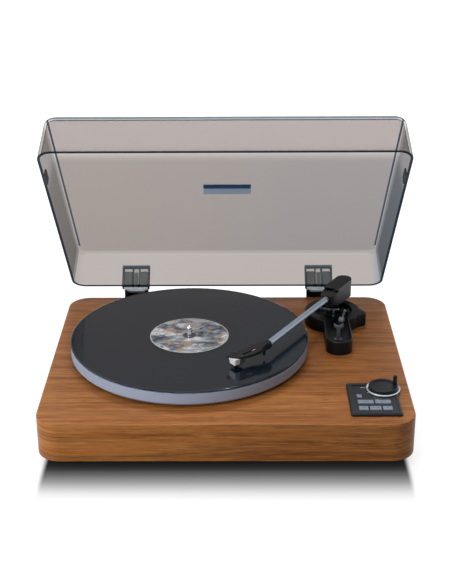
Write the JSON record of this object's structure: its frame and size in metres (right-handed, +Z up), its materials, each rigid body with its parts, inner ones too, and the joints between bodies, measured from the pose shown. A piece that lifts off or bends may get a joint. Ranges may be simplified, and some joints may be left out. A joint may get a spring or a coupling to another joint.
{
  "type": "turntable record player",
  "caption": "Belt-drive record player in a wooden plinth, with a straight tonearm, a record on the platter, a key panel and an open hinged clear lid.",
  "frame": {"origin": "on the floor, below the middle of the whole player with its lid open", "axes": "+Z up, -Y towards the front, +X towards the tonearm side; X runs along the plinth's width"},
  "size_m": [0.438, 0.3898, 0.3723],
  "materials": {
    "walnut": "satin foil with grain along the width",
    "cover_board": "matt moulded",
    "screw_steel": "zinc plated",
    "foot_rubber": "matt",
    "cast_metal": "as cast",
    "bush_brass": "turned",
    "polished_steel": "polished",
    "platter_aluminium": "satin, turned edge",
    "mat_rubber": "matt",
    "vinyl": "glossy with fine grooves",
    "label_paper": null,
    "motor_steel": "drawn can",
    "belt_rubber": "smooth",
    "black_plastic": "fine moulded texture",
    "arm_metal": "satin black",
    "grey_plastic": "fine moulded texture",
    "lever_plastic": "satin",
    "tube_aluminium": "satin anodised",
    "shell_plastic": "satin",
    "cartridge_grey": "smooth",
    "panel_plastic": "fine moulded texture",
    "board_green": "lacquered board",
    "button_silver": "satin silver",
    "silver_trim": "satin, bright edge",
    "smoky_clear": "clear smoky, polished",
    "hinge_metal": "satin blue grey"
  },
  "bodies": {
    "chassis": {"plinth": "walnut", "bottom_cover": "cover_board", "bottom_screws": "screw_steel", "foot_front_left": "foot_rubber", "foot_rear_left": "foot_rubber", "foot_front_right": "foot_rubber", "foot_rear_right": "foot_rubber", "foot_screws": "screw_steel", "bearing_housing": "cast_metal", "bearing_bush": "bush_brass", "thrust_ball": "polished_steel", "motor_mount": "screw_steel", "motor": "motor_steel", "drive_belt": "belt_rubber", "arm_base": "black_plastic", "deck_screws": "screw_steel", "arm_post": "arm_metal", "arm_rest": "grey_plastic", "lift_guide": "black_plastic", "panel_housing": "panel_plastic", "panel_board": "board_green", "selector_ring": "silver_trim", "hinge_bracket_left": "black_plastic", "hinge_bracket_right": "black_plastic", "hinge_pins": "polished_steel", "jack_plate": "black_plastic", "rca_jacks": "polished_steel", "dc_jack": "black_plastic", "main_board": "board_green"},
    "platter": {"platter": "platter_aluminium", "spindle": "polished_steel", "platter_mat": "mat_rubber", "record_disc": "vinyl", "record_label": "label_paper"},
    "pulley": {"motor_pulley": "bush_brass", "motor_shaft": "polished_steel"},
    "lid": {"lid": "smoky_clear", "lid_bumpers": "foot_rubber", "hinge_leaves": "hinge_metal"},
    "arm_swing": {"arm_yoke": "arm_metal", "trunnion_pins": "polished_steel"},
    "arm_tilt": {"arm_housing": "black_plastic", "counterweight": "cast_metal", "arm_tube": "tube_aluminium", "arm_collar": "black_plastic", "headshell": "shell_plastic", "cartridge_body": "cartridge_grey", "stylus_holder": "black_plastic", "stylus": "polished_steel", "cartridge_screws": "screw_steel"},
    "lift": {"lift_bar": "polished_steel"},
    "lever": {"cue_lever": "lever_plastic"},
    "selector": {"selector_knob": "black_plastic"},
    "switch_slider": {"line_switch": "black_plastic"},
    "button_front_left_cap": {"button_front_left": "button_silver"},
    "button_front_middle_cap": {"button_front_middle": "button_silver"},
    "button_front_right_cap": {"button_front_right": "button_silver"},
    "button_middle_left_cap": {"button_middle_left": "button_silver"},
    "button_middle_right_cap": {"button_middle_right": "button_silver"},
    "button_single_cap": {"button_single": "button_silver"}
  },
  "joints": [
    {"name": "platter_spin", "type": "hinge", "parent": "chassis", "child": "platter", "pos_m": [-0.047, -0.00714, 0.063], "axis": [0, 0, -1], "continuous": true},
    {"name": "pulley_spin", "type": "hinge", "parent": "chassis", "child": "pulley", "pos_m": [-0.1262, 0.07206, 0.066], "axis": [0, 0, -1], "continuous": true},
    {"name": "lid_hinge", "type": "hinge", "parent": "chassis", "child": "lid", "pos_m": [0, 0.17516, 0.068], "axis": [1, 0, 0], "range_deg": [0, 49]},
    {"name": "tonearm_swing", "type": "hinge", "parent": "chassis", "child": "arm_swing", "pos_m": [0.1415, 0.08486, 0.097], "axis": [0, 0, 1], "range_deg": [-13.5, 32.05]},
    {"name": "tonearm_tilt", "type": "hinge", "parent": "arm_swing", "child": "arm_tilt", "pos_m": [0.1415, 0.08486, 0.097], "axis": [-0.8563, 0.5165, 0], "range_deg": [0, 2.6]},
    {"name": "lift_slide", "type": "slide", "parent": "chassis", "child": "lift", "axis": [0, 0, 1], "range_m": [0, 0.00168]},
    {"name": "cue_lever_turn", "type": "hinge", "parent": "chassis", "child": "lever", "pos_m": [0.1565, 0.06186, 0.0825], "axis": [-0.9703, 0.2419, 0], "range_deg": [0, 45]},
    {"name": "selector_turn", "type": "hinge", "parent": "chassis", "child": "selector", "pos_m": [0.187, -0.11814, 0.0641], "axis": [0, 0, -1], "range_deg": [-30, 30]},
    {"name": "line_switch_slide", "type": "slide", "parent": "chassis", "child": "switch_slider", "axis": [-1, 0, 0], "range_m": [0, 0.004]},
    {"name": "button_front_left_press", "type": "slide", "parent": "chassis", "child": "button_front_left_cap", "axis": [0, 0, -1], "range_m": [0, 0.0008], "stiffness_N_per_m": 300, "springref_m": -0.0006},
    {"name": "button_front_middle_press", "type": "slide", "parent": "chassis", "child": "button_front_middle_cap", "axis": [0, 0, -1], "range_m": [0, 0.0008], "stiffness_N_per_m": 300, "springref_m": -0.0006},
    {"name": "button_front_right_press", "type": "slide", "parent": "chassis", "child": "button_front_right_cap", "axis": [0, 0, -1], "range_m": [0, 0.0008], "stiffness_N_per_m": 300, "springref_m": -0.0006},
    {"name": "button_middle_left_press", "type": "slide", "parent": "chassis", "child": "button_middle_left_cap", "axis": [0, 0, -1], "range_m": [0, 0.0008], "stiffness_N_per_m": 300, "springref_m": -0.0006},
    {"name": "button_middle_right_press", "type": "slide", "parent": "chassis", "child": "button_middle_right_cap", "axis": [0, 0, -1], "range_m": [0, 0.0008], "stiffness_N_per_m": 300, "springref_m": -0.0006},
    {"name": "button_single_press", "type": "slide", "parent": "chassis", "child": "button_single_cap", "axis": [0, 0, -1], "range_m": [0, 0.0008], "stiffness_N_per_m": 300, "springref_m": -0.0006}
  ],
  "couplings": [
    {"joint": "pulley_spin", "follows": "platter_spin", "ratio": 15.455},
    {"joint": "lift_slide", "follows": "tonearm_tilt", "m_per_rad": 0.037},
    {"joint": "cue_lever_turn", "follows": "tonearm_tilt", "ratio": 17.308}
  ]
}
